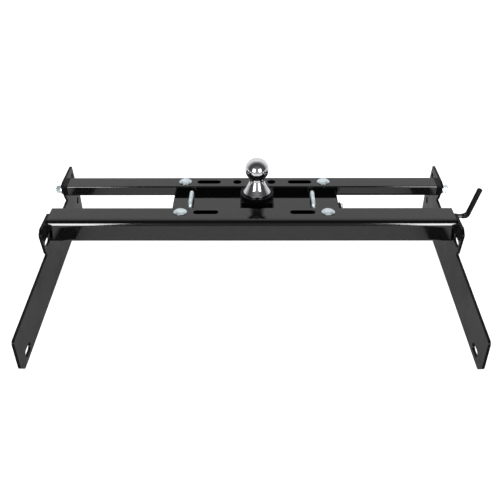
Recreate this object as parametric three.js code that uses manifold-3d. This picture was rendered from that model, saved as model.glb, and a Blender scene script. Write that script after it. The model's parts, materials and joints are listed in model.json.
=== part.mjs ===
// Gooseneck ball hitch that bolts under a pickup bed: two cross rails, a welded head with a square
// ball socket, a 2-5/16 inch ball, a sliding latch with a turning handle, two sprung safety-chain
// U-bolts and two side plates that carry the rails.
//
// Millimetres, +X to the right, +Y towards the tailgate side away from the long arms, +Z up.
// The origin is the centre of the small flat on top of the ball.
import * as THREE from "three";
import { mergeVertices } from "three/addons/utils/BufferGeometryUtils.js";
import Module from "manifold-3d";

const wasm = await Module();
wasm.setup();

// ---------------------------------------------------------------- driving dimensions
const GAP = 0.3; // left between pieces that touch
const HOLE_SIDES = 28; // sides of a hole or an edge that shows
const BOLT_SIDES = 12; // sides of fasteners and hidden holes

// Levels
const HEAD_TOP = -122; // top face of the head plate
const RAIL_TOP = HEAD_TOP + 18; // both rails end at this level
const LATCH_Z = HEAD_TOP - 39.5; // axis of the latch pin and the handle rod

// Positions along X: the ball is the zero, and the slotted rails sit a little to its left
const RAIL_X = -14;
const BOLT_X = -7;
const HEAD_X = -3.5;
const LOOP_X = -13;

// Ball
const BALL_RADIUS = 29.37;
const BALL_FLAT_RADIUS = 10;
const BALL_CENTRE_Z = -Math.sqrt(BALL_RADIUS ** 2 - BALL_FLAT_RADIUS ** 2);
const NECK_RADIUS = 18.2;
const FOOT_RADIUS = 34;
const FOOT_HEIGHT = 4;
const FOOT_BOTTOM = HEAD_TOP + 31;
const SHANK_SIDE = 50.8;
const SHANK_CORNER = 8;
const SHANK_LENGTH = 97;

// Rails
const RAIL_HALF = 494.4;
const BOLT_ROW_Y = 79.6; // the bolt rows are at plus and minus this
const REAR_RAIL_DEPTH = 50.8;
const REAR_RAIL_HEIGHT = 27.5;
const REAR_RAIL_WALL = 5;
const REAR_RAIL_CORNER = 3.5;
const FRONT_RAIL_BACK = -58.4;
const FRONT_RAIL_DEPTH = 67;
const FRONT_RAIL_HEIGHT = 57;
const FRONT_RAIL_WALL = 6;
const FRONT_RAIL_LIP = 26;
const FRONT_RAIL_RETURN = 17.7; // the short flange down its back edge, standing on the head plate
const BULKHEAD_X = 205; // plates inside the rear rail that close it either side of its holes
const BULKHEAD_THICKNESS = 8;

// Holes in the rails
const BOLT_SPREAD = 181.4; // carriage bolts, either side of BOLT_X
const SLOT_SPREAD = 119;
const SLOT_LENGTH = 61.5;
const SLOT_WIDTH = 18.5;
const HOLE_SPREAD = 44.7;
const HOLE_RADIUS = 11;
const NECK_HOLE_SIDE = 16.6; // square holes for the carriage bolts' necks

// Head
const HEAD_WIDTH = 418;
const BASE_WIDTH = 426;
const PLATE = 9.5;
const HEAD_FRONT = -118.6;
const BASE_REAR = 108;
const SOCKET_SIDE = 80;
const SOCKET_BORE = 51.8;
const SOCKET_TOP = FOOT_BOTTOM - GAP;
const SOCKET_RING_RADIUS = 42;
const SOCKET_RING_HEIGHT = 10;
const SOCKET_RING_SIDES = 40;
const SOCKET_BOTTOM = HEAD_TOP - 82;
const BASE_TOP = HEAD_TOP - PLATE - GAP;
const BASE_BOTTOM = BASE_TOP - PLATE;

// Carriage bolts, 5/8 inch
const BOLT_RADIUS = 7.8;
const BOLT_HEAD_RADIUS = 16.5;
const BOLT_HEAD_RISE = 7.6;
const BOLT_HOLE_RADIUS = 8.6;
const BOLT_TAIL = 20; // past the underside of the base plate
const FLANGE_NUT_RADIUS = 16;
const FLANGE_NUT_FOOT = 3;
const FLANGE_NUT_HEX_RADIUS = 13.7;
const FLANGE_NUT_HEIGHT = 15;

// Latch
const LATCH_RADIUS = 9.5;
const LATCH_TIP_X = 29; // pulled out of the shank
const LATCH_END_X = 165;
const COLLAR_X = 76;
const COLLAR_WIDTH = 6;
const COLLAR_RADIUS = 16;
const LATCH_SPRING_RADIUS = 13;
const BRACKET_X = 120;
const BRACKET_THICKNESS = 6;
const GUIDE_THICKNESS = 5;
const GUIDE_BOLT_HEIGHT = 6;
const LATCH_HOLE_RADIUS = 9.9;
const ROD_RADIUS = 5.5;
const ROD_START_X = 142;
const ROD_BEND_X = 522.6;
const ROD_BEND_RADIUS = 24;
const ROD_BEND_ANGLE = THREE.MathUtils.degToRad(74.4);
const ROD_TIP_LENGTH = 64;
const GRIP_WALL = 1.1;

// Safety-chain U-bolts
const LOOP_SPREAD = 155;
const LOOP_LEG_Y = 35;
const LOOP_RADIUS = 5;
const LOOP_RISE = 15; // centre line of the bar above the head plate
const LOOP_CORNER = 13;
const LOOP_DROP = 76; // lower ends of the legs below the head plate
const LOOP_HOLE_CLEARANCE = 0.8;
const LOOP_WASHER_RADIUS = 11.5;
const LOOP_NUT_FLATS = 16;
const LOOP_NUT_HEIGHT = 10;
const LOOP_NUT_CLEARANCE = 0.4;
const LOOP_SPRING_RADIUS = 7.8;
const SPRING_LENGTH = 36;
const SPRING_WIRE = 1.3; // radius of the wire of every spring
const WASHER_THICKNESS = 2.5;

// Side plates
const SIDE_PLATE = 6.4;
const PLATE_HOLE_RADIUS = 10;
const STUD_RADIUS = 6.35;
const REAR_STUD_Y = 77;
const REAR_STUD_Z = HEAD_TOP - 1.5;
const FRONT_STUD_Y = -107;
const FRONT_STUD_Z = HEAD_TOP - 15;
const STUD_REACH = 17.3; // past the outside of the side plate
const STUD_HOLE_CLEARANCE = 0.5;
const END_PLATE = 12;
const END_WASHER_RADIUS = 13;
const END_NUT_FLATS = 19;
const END_NUT_HEIGHT = 11;

// ---------------------------------------------------------------- materials
function finish(color, roughness, metalness) {
  return () => new THREE.MeshStandardMaterial({ color, roughness, metalness });
}
const blackPaint = finish(0x1b1b1d, 0.3, 0.2);
const zinc = finish(0xc9d2d8, 0.35, 0.9);
const chrome = finish(0xe4e4ea, 0.08, 1);
const springSteel = finish(0x8c9094, 0.4, 0.9);
const darkSteel = finish(0x55585c, 0.45, 0.8);
const vinyl = finish(0x111112, 0.75, 0);

// ---------------------------------------------------------------- solids
function toManifold(geometry) {
  const bare = new THREE.BufferGeometry();
  const source = geometry.index ? geometry.toNonIndexed() : geometry;
  bare.setAttribute("position", source.getAttribute("position"));
  const merged = mergeVertices(bare, 1e-4);
  const index = merged.index.array;
  const triangles = [];
  for (let i = 0; i < index.length; i += 3) {
    const [a, b, c] = [index[i], index[i + 1], index[i + 2]];
    if (a !== b && b !== c && c !== a) triangles.push(a, b, c);
  }
  const vertProperties = new Float32Array(merged.getAttribute("position").array);
  const triVerts = new Uint32Array(triangles);
  return new wasm.Manifold(new wasm.Mesh({ numProp: 3, vertProperties, triVerts }));
}

function toGeometry(manifold) {
  const { vertProperties, triVerts } = manifold.getMesh();
  const geometry = new THREE.BufferGeometry();
  geometry.setAttribute("position", new THREE.BufferAttribute(vertProperties, 3));
  geometry.setIndex(new THREE.BufferAttribute(triVerts, 1));
  geometry.computeVertexNormals();
  return geometry;
}

function cut(body, ...tools) {
  return toGeometry(tools.reduce((solid, tool) => solid.subtract(toManifold(tool)), toManifold(body)));
}

function join(body, ...others) {
  return toGeometry(others.reduce((solid, other) => solid.add(toManifold(other)), toManifold(body)));
}

function box(x0, x1, y0, y1, z0, z1) {
  const geometry = new THREE.BoxGeometry(x1 - x0, y1 - y0, z1 - z0);
  return geometry.translate((x0 + x1) / 2, (y0 + y1) / 2, (z0 + z1) / 2);
}

function cylinderZ(radius, z0, z1, sides = BOLT_SIDES) {
  const geometry = new THREE.CylinderGeometry(radius, radius, z1 - z0, sides);
  return geometry.rotateX(Math.PI / 2).translate(0, 0, (z0 + z1) / 2);
}

function cylinderX(radius, x0, x1, sides = BOLT_SIDES) {
  const geometry = new THREE.CylinderGeometry(radius, radius, x1 - x0, sides);
  return geometry.rotateZ(-Math.PI / 2).translate((x0 + x1) / 2, 0, 0);
}

// Turns a profile of [radius, height] points about Z. The profile starts and ends on the axis,
// and its heights go down.
function revolve(profile, sides) {
  const points = profile.map(([radius, height]) => new THREE.Vector2(radius, height));
  return new THREE.LatheGeometry(points.reverse(), sides).rotateX(Math.PI / 2);
}

function extrudeZ(shape, z0, z1, curveSegments = 6) {
  const options = { depth: z1 - z0, bevelEnabled: false, curveSegments };
  return new THREE.ExtrudeGeometry(shape, options).translate(0, 0, z0);
}

// Extrudes an outline drawn in Y and Z along X.
function extrudeX(shape, x0, x1, curveSegments = 6) {
  const alongX = new THREE.Matrix4().makeBasis(
    new THREE.Vector3(0, 1, 0),
    new THREE.Vector3(0, 0, 1),
    new THREE.Vector3(1, 0, 0),
  );
  return extrudeZ(shape, x0, x1, curveSegments).applyMatrix4(alongX);
}

// A closed outline through [x, y, corner radius] points.
function roundedShape(corners) {
  const shape = new THREE.Shape();
  const count = corners.length;
  const pointAt = (i) => new THREE.Vector2(...corners[(i + count) % count].slice(0, 2));
  for (let i = 0; i < count; i++) {
    const corner = pointAt(i);
    const radius = corners[i][2];
    const before = pointAt(i - 1).sub(corner).normalize();
    const after = pointAt(i + 1).sub(corner).normalize();
    const halfAngle = Math.acos(THREE.MathUtils.clamp(before.dot(after), -1, 1)) / 2;
    const setback = radius / Math.tan(halfAngle);
    const start = corner.clone().addScaledVector(before, setback);
    const end = corner.clone().addScaledVector(after, setback);
    if (i === 0) shape.moveTo(start.x, start.y);
    else shape.lineTo(start.x, start.y);
    if (radius > 0) shape.quadraticCurveTo(corner.x, corner.y, end.x, end.y);
  }
  shape.closePath();
  return shape;
}

function squareShape(half, radius) {
  return roundedShape([
    [-half, -half, radius],
    [half, -half, radius],
    [half, half, radius],
    [-half, half, radius],
  ]);
}

function disc(radius) {
  const shape = new THREE.Shape();
  shape.absarc(0, 0, radius, 0, 2 * Math.PI, false);
  return shape;
}

// A path of straight runs with rounded corners between them.
function bentPath(points, radius) {
  const path = new THREE.CurvePath();
  let from = points[0];
  for (let i = 1; i < points.length - 1; i++) {
    const back = points[i - 1].clone().sub(points[i]).normalize();
    const on = points[i + 1].clone().sub(points[i]).normalize();
    const setback = radius / Math.tan(back.angleTo(on) / 2);
    const start = points[i].clone().addScaledVector(back, setback);
    const end = points[i].clone().addScaledVector(on, setback);
    path.add(new THREE.LineCurve3(from, start));
    path.add(new THREE.QuadraticBezierCurve3(start, points[i], end));
    from = end;
  }
  path.add(new THREE.LineCurve3(from, points[points.length - 1]));
  return path;
}

function sweep(radius, path, steps, curveSegments) {
  const options = { steps, curveSegments, bevelEnabled: false, extrudePath: path };
  return new THREE.ExtrudeGeometry(disc(radius), options);
}

class Helix extends THREE.Curve {
  constructor(radius, length, turns) {
    super();
    Object.assign(this, { radius, length, turns });
  }

  getPoint(t, target = new THREE.Vector3()) {
    const angle = 2 * Math.PI * this.turns * t;
    return target.set(this.radius * Math.cos(angle), this.radius * Math.sin(angle), this.length * t);
  }
}

// A compression spring standing on z = 0, between faces that are `length` apart.
function springGeometry(coilRadius, wireRadius, length, turns) {
  const travel = length - 2 * wireRadius - 2 * GAP;
  const coil = sweep(wireRadius, new Helix(coilRadius, travel, turns), turns * 8, 2);
  return coil.translate(0, 0, wireRadius + GAP);
}

function washerGeometry(outer, inner, thickness) {
  return cut(cylinderZ(outer, 0, thickness), cylinderZ(inner, -1, thickness + 1));
}

function hexNutGeometry(acrossFlats, inner, height) {
  return cut(cylinderZ(acrossFlats / Math.sqrt(3), 0, height, 6), cylinderZ(inner, -1, height + 1));
}

function piece(name, geometry, material, position = [0, 0, 0], rotation = [0, 0, 0]) {
  const mesh = new THREE.Mesh(geometry, material());
  mesh.name = name;
  mesh.position.set(...position);
  mesh.rotation.set(...rotation);
  return mesh;
}

// ---------------------------------------------------------------- rails
const SIDES = [["left", -1], ["right", 1]];
const ROWS = [["rear", 1], ["front", -1]];

function slotShape(length, half) {
  const reach = length / 2;
  const r = half * 0.99;
  return roundedShape([[-reach, -half, r], [reach, -half, r], [reach, half, r], [-reach, half, r]]);
}

function slotCutter(bottom) {
  return extrudeZ(slotShape(SLOT_LENGTH, SLOT_WIDTH / 2), bottom, 1, 7);
}

// Cutters for one rail's top face, in the rail's own frame, where z = 0 is the rail's top.
function railCutters(rowY, bottom, roundHoles) {
  const shift = BOLT_X - RAIL_X;
  const cutters = [];
  for (const [, side] of SIDES) {
    const neck = NECK_HOLE_SIDE / 2;
    cutters.push(box(-neck, neck, -neck, neck, bottom, 1).translate(side * BOLT_SPREAD + shift, rowY, 0));
    cutters.push(slotCutter(bottom).translate(side * SLOT_SPREAD + shift, rowY, 0));
    if (roundHoles) {
      const hole = cylinderZ(HOLE_RADIUS, bottom, 1, HOLE_SIDES);
      cutters.push(hole.translate(side * HOLE_SPREAD + shift, rowY, 0));
    }
  }
  return cutters;
}

// The rear rail's section, around a middle in Y and under a top level, made smaller by inset.
function rearSection(middle, top, inset, radius) {
  const half = REAR_RAIL_DEPTH / 2 - inset;
  const low = top - REAR_RAIL_HEIGHT + inset;
  const high = top - inset;
  return roundedShape([
    [middle - half, low, radius],
    [middle + half, low, radius],
    [middle + half, high, radius],
    [middle - half, high, radius],
  ]);
}

function rearRailGeometry() {
  const section = rearSection(BOLT_ROW_Y, 0, 0, REAR_RAIL_CORNER);
  section.holes.push(rearSection(BOLT_ROW_Y, 0, REAR_RAIL_WALL, 1));
  const end = RAIL_HALF - END_PLATE - GAP;
  const tube = extrudeX(section, -end, end, 4);
  const filling = rearSection(BOLT_ROW_Y, 0, REAR_RAIL_WALL - 1, 0);
  const bulkheads = SIDES.map(([, side]) => {
    const x = side * BULKHEAD_X + BOLT_X - RAIL_X;
    return extrudeX(filling, x - BULKHEAD_THICKNESS / 2, x + BULKHEAD_THICKNESS / 2);
  });
  return cut(join(tube, ...bulkheads), ...railCutters(BOLT_ROW_Y, -REAR_RAIL_HEIGHT - 1, true));
}

function frontRailGeometry() {
  const back = FRONT_RAIL_BACK;
  const front = FRONT_RAIL_BACK - FRONT_RAIL_DEPTH;
  const wall = FRONT_RAIL_WALL;
  const bottom = -FRONT_RAIL_HEIGHT;
  const lip = front + FRONT_RAIL_LIP;
  const section = roundedShape([
    [back, 0, 1.5],
    [front, 0, 17],
    [front, bottom, 8],
    [lip, bottom, 1],
    [lip, bottom + wall, 1],
    [front + wall, bottom + wall, 2],
    [front + wall, -wall, 11],
    [back - wall, -wall, 1],
    [back - wall, -FRONT_RAIL_RETURN, 1],
    [back, -FRONT_RAIL_RETURN, 1],
  ]);
  const channel = extrudeX(section, -RAIL_HALF, RAIL_HALF, 8);
  return cut(channel, ...railCutters(-BOLT_ROW_Y, -wall - 1, false));
}

// A block welded into the open end of the rear rail.
function rearEndGeometry() {
  const outline = rearSection(BOLT_ROW_Y - REAR_STUD_Y, RAIL_TOP - REAR_STUD_Z, 0, REAR_RAIL_CORNER);
  return cut(extrudeX(outline, -END_PLATE, 0, 4), cylinderX(STUD_RADIUS + GAP, -END_PLATE - 1, 1));
}

function frontEndGeometry() {
  const front = FRONT_RAIL_BACK - FRONT_RAIL_DEPTH + FRONT_RAIL_WALL + GAP - FRONT_STUD_Y;
  const back = FRONT_RAIL_BACK - FRONT_RAIL_WALL - GAP - FRONT_STUD_Y;
  const bottom = RAIL_TOP - FRONT_RAIL_HEIGHT + FRONT_RAIL_WALL + GAP - FRONT_STUD_Z;
  const top = RAIL_TOP - FRONT_RAIL_WALL - GAP - FRONT_STUD_Z;
  const outline = roundedShape([[back, top, 2], [front, top, 14], [front, bottom, 4], [back, bottom, 6]]);
  return cut(extrudeX(outline, -END_PLATE, 0), cylinderX(STUD_RADIUS + GAP, -END_PLATE - 1, 1));
}

function studGeometry() {
  return cylinderX(STUD_RADIUS, -END_PLATE, GAP + SIDE_PLATE + STUD_REACH);
}

function buildRails() {
  const rails = new THREE.Group();
  rails.position.set(RAIL_X, 0, 0);
  rails.add(piece("rear_rail", rearRailGeometry(), blackPaint, [0, 0, RAIL_TOP]));
  rails.add(piece("front_rail", frontRailGeometry(), blackPaint, [0, 0, RAIL_TOP]));
  for (const [sideName, side] of SIDES) {
    for (const [rowName, row] of ROWS) {
      const rear = row > 0;
      const [studY, studZ] = rear ? [REAR_STUD_Y, REAR_STUD_Z] : [FRONT_STUD_Y, FRONT_STUD_Z];
      const place = [side * RAIL_HALF, studY, studZ];
      const shape = rear ? rearEndGeometry() : frontEndGeometry();
      if (side < 0) shape.translate(END_PLATE, 0, 0);
      rails.add(piece(`rail_end_${rowName}_${sideName}`, shape, blackPaint, place));
      rails.add(buildEndFastener(`${rowName}_${sideName}`, place, side));
    }
  }
  return rails;
}

// Stud, washer and hex nut that hold a side plate on a rail's end, built pointing along +X.
function buildEndFastener(name, place, side) {
  const fastener = new THREE.Group();
  fastener.position.set(...place);
  fastener.rotation.z = side > 0 ? 0 : Math.PI;
  const washerX = SIDE_PLATE + 2 * GAP;
  const nutX = washerX + WASHER_THICKNESS + GAP;
  const alongX = [0, Math.PI / 2, 0];
  const washer = washerGeometry(END_WASHER_RADIUS, STUD_RADIUS + GAP, WASHER_THICKNESS);
  const nut = hexNutGeometry(END_NUT_FLATS, STUD_RADIUS + GAP, END_NUT_HEIGHT);
  fastener.add(piece(`end_stud_${name}`, studGeometry(), zinc));
  fastener.add(piece(`end_washer_${name}`, washer, zinc, [washerX, 0, 0], alongX));
  fastener.add(piece(`end_nut_${name}`, nut, zinc, [nutX, 0, 0], alongX));
  return fastener;
}

// ---------------------------------------------------------------- side plates
// Outline in Y and in height above the head plate: a rear ear, a sloping strip with the long
// forward arm, and a front ear. The third number is the corner radius.
const PLATE_OUTLINE = [
  [173, 18.3, 3],
  [77, 18.3, 8],
  [58, 13, 6],
  [85, -41, 0],
  [-74, -50.3, 0],
  [-84, 18.3, 5],
  [-161, 18.3, 9],
  [-175, 8.4, 9],
  [-158, -58.4, 0],
  [-458, -77.8, 10],
  [-452, -156, 14],
  [-430, -176, 10],
  [219, -147, 8],
  [213.5, -97, 20],
  [184, -22.5, 20],
];
const PLATE_HOLES = [[159, -7.5], [179, -92]];
const PLATE_SLOTS = [[-136, -31, 44], [-393, -153.5, 40]]; // centre and length, along Y
const PLATE_RELIEFS = [[83.5, -38.5], [-77, -47.5], [-158, -54.5]];
const RELIEF_RADIUS = 4;

function plateSlot(length) {
  return extrudeX(slotShape(length, PLATE_HOLE_RADIUS), -1, SIDE_PLATE + 1, 7);
}

function sidePlateGeometry() {
  const outline = roundedShape(PLATE_OUTLINE);
  const hole = (radius, y, z, sides) => cylinderX(radius, -1, SIDE_PLATE + 1, sides).translate(0, y, z);
  return cut(
    extrudeX(outline, 0, SIDE_PLATE, 6),
    ...PLATE_HOLES.map(([y, z]) => hole(PLATE_HOLE_RADIUS, y, z, HOLE_SIDES)),
    ...PLATE_SLOTS.map(([y, z, length]) => plateSlot(length).translate(0, y, z)),
    ...PLATE_RELIEFS.map(([y, z]) => hole(RELIEF_RADIUS, y, z)),
    hole(STUD_RADIUS + STUD_HOLE_CLEARANCE, REAR_STUD_Y, REAR_STUD_Z - HEAD_TOP),
    hole(STUD_RADIUS + STUD_HOLE_CLEARANCE, FRONT_STUD_Y, FRONT_STUD_Z - HEAD_TOP),
  );
}

function buildSidePlates() {
  const plates = new THREE.Group();
  plates.position.set(RAIL_X, 0, HEAD_TOP);
  const inner = RAIL_HALF + GAP;
  plates.add(piece("side_plate_left", sidePlateGeometry(), blackPaint, [-inner - SIDE_PLATE, 0, 0]));
  plates.add(piece("side_plate_right", sidePlateGeometry(), blackPaint, [inner, 0, 0]));
  return plates;
}

// ---------------------------------------------------------------- head
// Holes that go through both head plates: the socket, the carriage bolts and the U-bolt legs.
function headCutters() {
  const side = SOCKET_SIDE / 2 + GAP;
  const low = BASE_BOTTOM - 1;
  const high = HEAD_TOP + 1;
  const cutters = [box(-side, side, -side, side, low, high)];
  for (const [, x] of SIDES) {
    for (const [, y] of ROWS) {
      const bolt = cylinderZ(BOLT_HOLE_RADIUS, low, high);
      cutters.push(bolt.translate(BOLT_X + x * BOLT_SPREAD, y * BOLT_ROW_Y, 0));
      const leg = cylinderZ(LOOP_RADIUS + LOOP_HOLE_CLEARANCE, low, high);
      cutters.push(leg.translate(LOOP_X + x * LOOP_SPREAD, y * LOOP_LEG_Y, 0));
    }
  }
  return cutters;
}

function headPlateGeometry(width, y0, y1, top) {
  const x0 = HEAD_X - width / 2;
  const x1 = HEAD_X + width / 2;
  const outline = roundedShape([[x0, y0, 3], [x1, y0, 3], [x1, y1, 3], [x0, y1, 3]]);
  return cut(extrudeZ(outline, top - PLATE, top, 2), ...headCutters());
}

// A square tube with a round collar on top, which the foot of the ball rests on.
function socketGeometry() {
  const outer = SOCKET_SIDE / 2;
  const inner = SOCKET_BORE / 2;
  const ringBottom = SOCKET_TOP - SOCKET_RING_HEIGHT;
  const ring = cylinderZ(SOCKET_RING_RADIUS, ringBottom, SOCKET_TOP, SOCKET_RING_SIDES);
  const body = join(extrudeZ(squareShape(outer, 4), SOCKET_BOTTOM, ringBottom + 1, 2), ring);
  const bore = box(-inner, inner, -inner, inner, SOCKET_BOTTOM - 1, SOCKET_TOP + 1);
  return cut(body, bore, cylinderX(LATCH_HOLE_RADIUS, 0, outer + 1).translate(0, 0, LATCH_Z));
}

// A triangular rib between the socket's wall and the underside of the base plate.
function gussetGeometry() {
  const inner = SOCKET_SIDE / 2 + GAP;
  const top = BASE_BOTTOM - GAP;
  const outline = roundedShape([
    [inner, top, 0],
    [inner, top - 46, 0],
    [inner + 8, top - 46, 2],
    [inner + 36, top - 8, 2],
    [inner + 36, top, 0],
  ]);
  return extrudeX(outline, -4, 4, 2);
}

function buildHead() {
  const head = new THREE.Group();
  const rearFace = BOLT_ROW_Y - REAR_RAIL_DEPTH / 2 - GAP;
  const topPlate = headPlateGeometry(HEAD_WIDTH, HEAD_FRONT, rearFace, HEAD_TOP);
  const basePlate = headPlateGeometry(BASE_WIDTH, HEAD_FRONT, BASE_REAR, BASE_TOP);
  head.add(piece("head_top_plate", topPlate, blackPaint));
  head.add(piece("head_base_plate", basePlate, blackPaint));
  head.add(piece("ball_socket", socketGeometry(), blackPaint));
  for (const [rowName, row] of ROWS) {
    const turn = row > 0 ? 0 : Math.PI;
    head.add(piece(`head_gusset_${rowName}`, gussetGeometry(), blackPaint, [0, 0, 0], [0, 0, turn]));
  }
  return head;
}

// ---------------------------------------------------------------- carriage bolts
// Domed head on z = 0 with a square neck and a round shank below it.
function carriageBoltGeometry() {
  const steps = 4;
  const rise = BOLT_HEAD_RISE;
  const rim = 1.2;
  const profile = [];
  for (let i = 0; i <= steps; i++) {
    const radius = (BOLT_HEAD_RADIUS * i) / steps;
    profile.push([radius, rim + (rise - rim) * (1 - (radius / BOLT_HEAD_RADIUS) ** 2)]);
  }
  const tip = BASE_BOTTOM - RAIL_TOP - BOLT_TAIL;
  profile.push([BOLT_HEAD_RADIUS, 0], [BOLT_RADIUS, 0]);
  profile.push([BOLT_RADIUS, tip + 1.5], [BOLT_RADIUS - 1.5, tip], [0, tip]);
  const neck = BOLT_RADIUS;
  return join(revolve(profile, BOLT_SIDES), box(-neck, neck, -neck, neck, -FRONT_RAIL_WALL, 0.1));
}

function flangeNutGeometry() {
  const hexagon = cylinderZ(FLANGE_NUT_HEX_RADIUS, -FLANGE_NUT_HEIGHT, 0, 6);
  const nut = join(hexagon, cylinderZ(FLANGE_NUT_RADIUS, -FLANGE_NUT_FOOT, 0));
  return cut(nut, cylinderZ(BOLT_RADIUS + GAP, -FLANGE_NUT_HEIGHT - 1, 1));
}

function buildCarriageBolts() {
  const bolts = new THREE.Group();
  const spacerHeight = RAIL_TOP - FRONT_RAIL_WALL - HEAD_TOP - 2 * GAP;
  for (const [sideName, side] of SIDES) {
    const x = BOLT_X + side * BOLT_SPREAD;
    for (const [rowName, row] of ROWS) {
      const y = row * BOLT_ROW_Y;
      const name = `${rowName}_${sideName}`;
      bolts.add(piece(`carriage_bolt_${name}`, carriageBoltGeometry(), zinc, [x, y, RAIL_TOP + GAP]));
      bolts.add(piece(`flange_nut_${name}`, flangeNutGeometry(), zinc, [x, y, BASE_BOTTOM - GAP]));
    }
    const spacer = washerGeometry(14, BOLT_HOLE_RADIUS, spacerHeight);
    bolts.add(piece(`rail_spacer_${sideName}`, spacer, darkSteel, [x, -BOLT_ROW_Y, HEAD_TOP + GAP]));
  }
  return bolts;
}

// ---------------------------------------------------------------- ball
function ballGeometry() {
  const neckAngle = Math.PI - Math.asin(NECK_RADIUS / BALL_RADIUS);
  const flatAngle = Math.asin(BALL_FLAT_RADIUS / BALL_RADIUS);
  const profile = [[0, 0]];
  const arcSteps = 9;
  for (let i = 0; i <= arcSteps; i++) {
    const angle = flatAngle + ((neckAngle - flatAngle) * i) / arcSteps;
    profile.push([BALL_RADIUS * Math.sin(angle), BALL_CENTRE_Z + BALL_RADIUS * Math.cos(angle)]);
  }
  const neckZ = profile[arcSteps + 1][1];
  const footTop = FOOT_BOTTOM + FOOT_HEIGHT;
  const flareSteps = 4;
  for (let i = 1; i <= flareSteps; i++) {
    const t = i / flareSteps;
    const radius = NECK_RADIUS + (FOOT_RADIUS - NECK_RADIUS) * t ** 1.35;
    profile.push([radius, neckZ - 3 + (footTop - neckZ + 3) * t]);
  }
  profile.push([FOOT_RADIUS, FOOT_BOTTOM], [0, FOOT_BOTTOM]);
  const half = SHANK_SIDE / 2;
  const section = squareShape(half, SHANK_CORNER);
  const shank = extrudeZ(section, FOOT_BOTTOM - SHANK_LENGTH, FOOT_BOTTOM + 1, 3);
  const crossHole = cylinderX(LATCH_HOLE_RADIUS, -half - 1, half + 1).translate(0, 0, LATCH_Z);
  return cut(join(revolve(profile, 28), shank), crossHole);
}

// ---------------------------------------------------------------- latch and handle
// The pin carries the handle rod in a blind bore at its outer end. A retaining pin beside the
// rod's groove keeps the rod in and lets it turn.
const BORE_START_X = ROD_START_X - GAP;
const GROOVE_X = ROD_START_X + 10;
const RETAINER_Y = 5.2;
const RETAINER_RADIUS = 1.5;

function latchPinGeometry() {
  const nose = 4;
  const tip = new THREE.CylinderGeometry(LATCH_RADIUS - 2.5, LATCH_RADIUS, nose, BOLT_SIDES);
  tip.rotateZ(Math.PI / 2).translate(LATCH_TIP_X + nose / 2, 0, 0);
  const body = join(tip, cylinderX(LATCH_RADIUS, LATCH_TIP_X + nose, LATCH_END_X));
  const retainerHole = cylinderZ(RETAINER_RADIUS + GAP, -12, 12, 8).translate(GROOVE_X, RETAINER_Y, 0);
  return cut(body, cylinderX(ROD_RADIUS + GAP, BORE_START_X, LATCH_END_X + 1), retainerHole);
}

function latchCollarGeometry() {
  const end = COLLAR_X + COLLAR_WIDTH;
  const bore = cylinderX(LATCH_RADIUS + GAP, COLLAR_X - 1, end + 1);
  return cut(cylinderX(COLLAR_RADIUS, COLLAR_X, end), bore);
}

// A plate with a hole for the latch pin or the rod, hanging from the head.
function hangerGeometry(x0, x1, y0, y1, top, holeRadius) {
  const outline = roundedShape([[y0, top, 1], [y1, top, 1], [y1, -16, 6], [y0, -16, 6]]);
  return cut(extrudeX(outline, x0, x1, 3), cylinderX(holeRadius, x0 - 1, x1 + 1));
}

function handlePath(endShort) {
  const rise = Math.tan(ROD_BEND_ANGLE / 2) * ROD_BEND_RADIUS;
  const corner = new THREE.Vector3(ROD_BEND_X + rise, 0, 0);
  const reach = rise + ROD_TIP_LENGTH - endShort;
  const tip = new THREE.Vector3(Math.cos(ROD_BEND_ANGLE), 0, Math.sin(ROD_BEND_ANGLE));
  const end = corner.clone().addScaledVector(tip, reach);
  return bentPath([new THREE.Vector3(ROD_BEND_X - 4, 0, 0), corner, end], ROD_BEND_RADIUS);
}

function handleRodGeometry() {
  const groove = cut(
    cylinderX(ROD_RADIUS + 1, GROOVE_X - 3, GROOVE_X + 3, 12),
    cylinderX(3.2, GROOVE_X - 4, GROOVE_X + 4, 12),
  );
  const straight = cylinderX(ROD_RADIUS, ROD_START_X, ROD_BEND_X - 3.9);
  return cut(join(straight, sweep(ROD_RADIUS, handlePath(3), 10, 6)), groove);
}

function handleGripGeometry() {
  const outer = sweep(ROD_RADIUS + GAP + GRIP_WALL, handlePath(0), 10, 6);
  const bore = sweep(ROD_RADIUS + GAP, handlePath(2.6), 10, 6);
  return cut(outer, bore, box(ROD_BEND_X - 20, ROD_BEND_X + 4, -20, 20, -20, 20));
}

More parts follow.
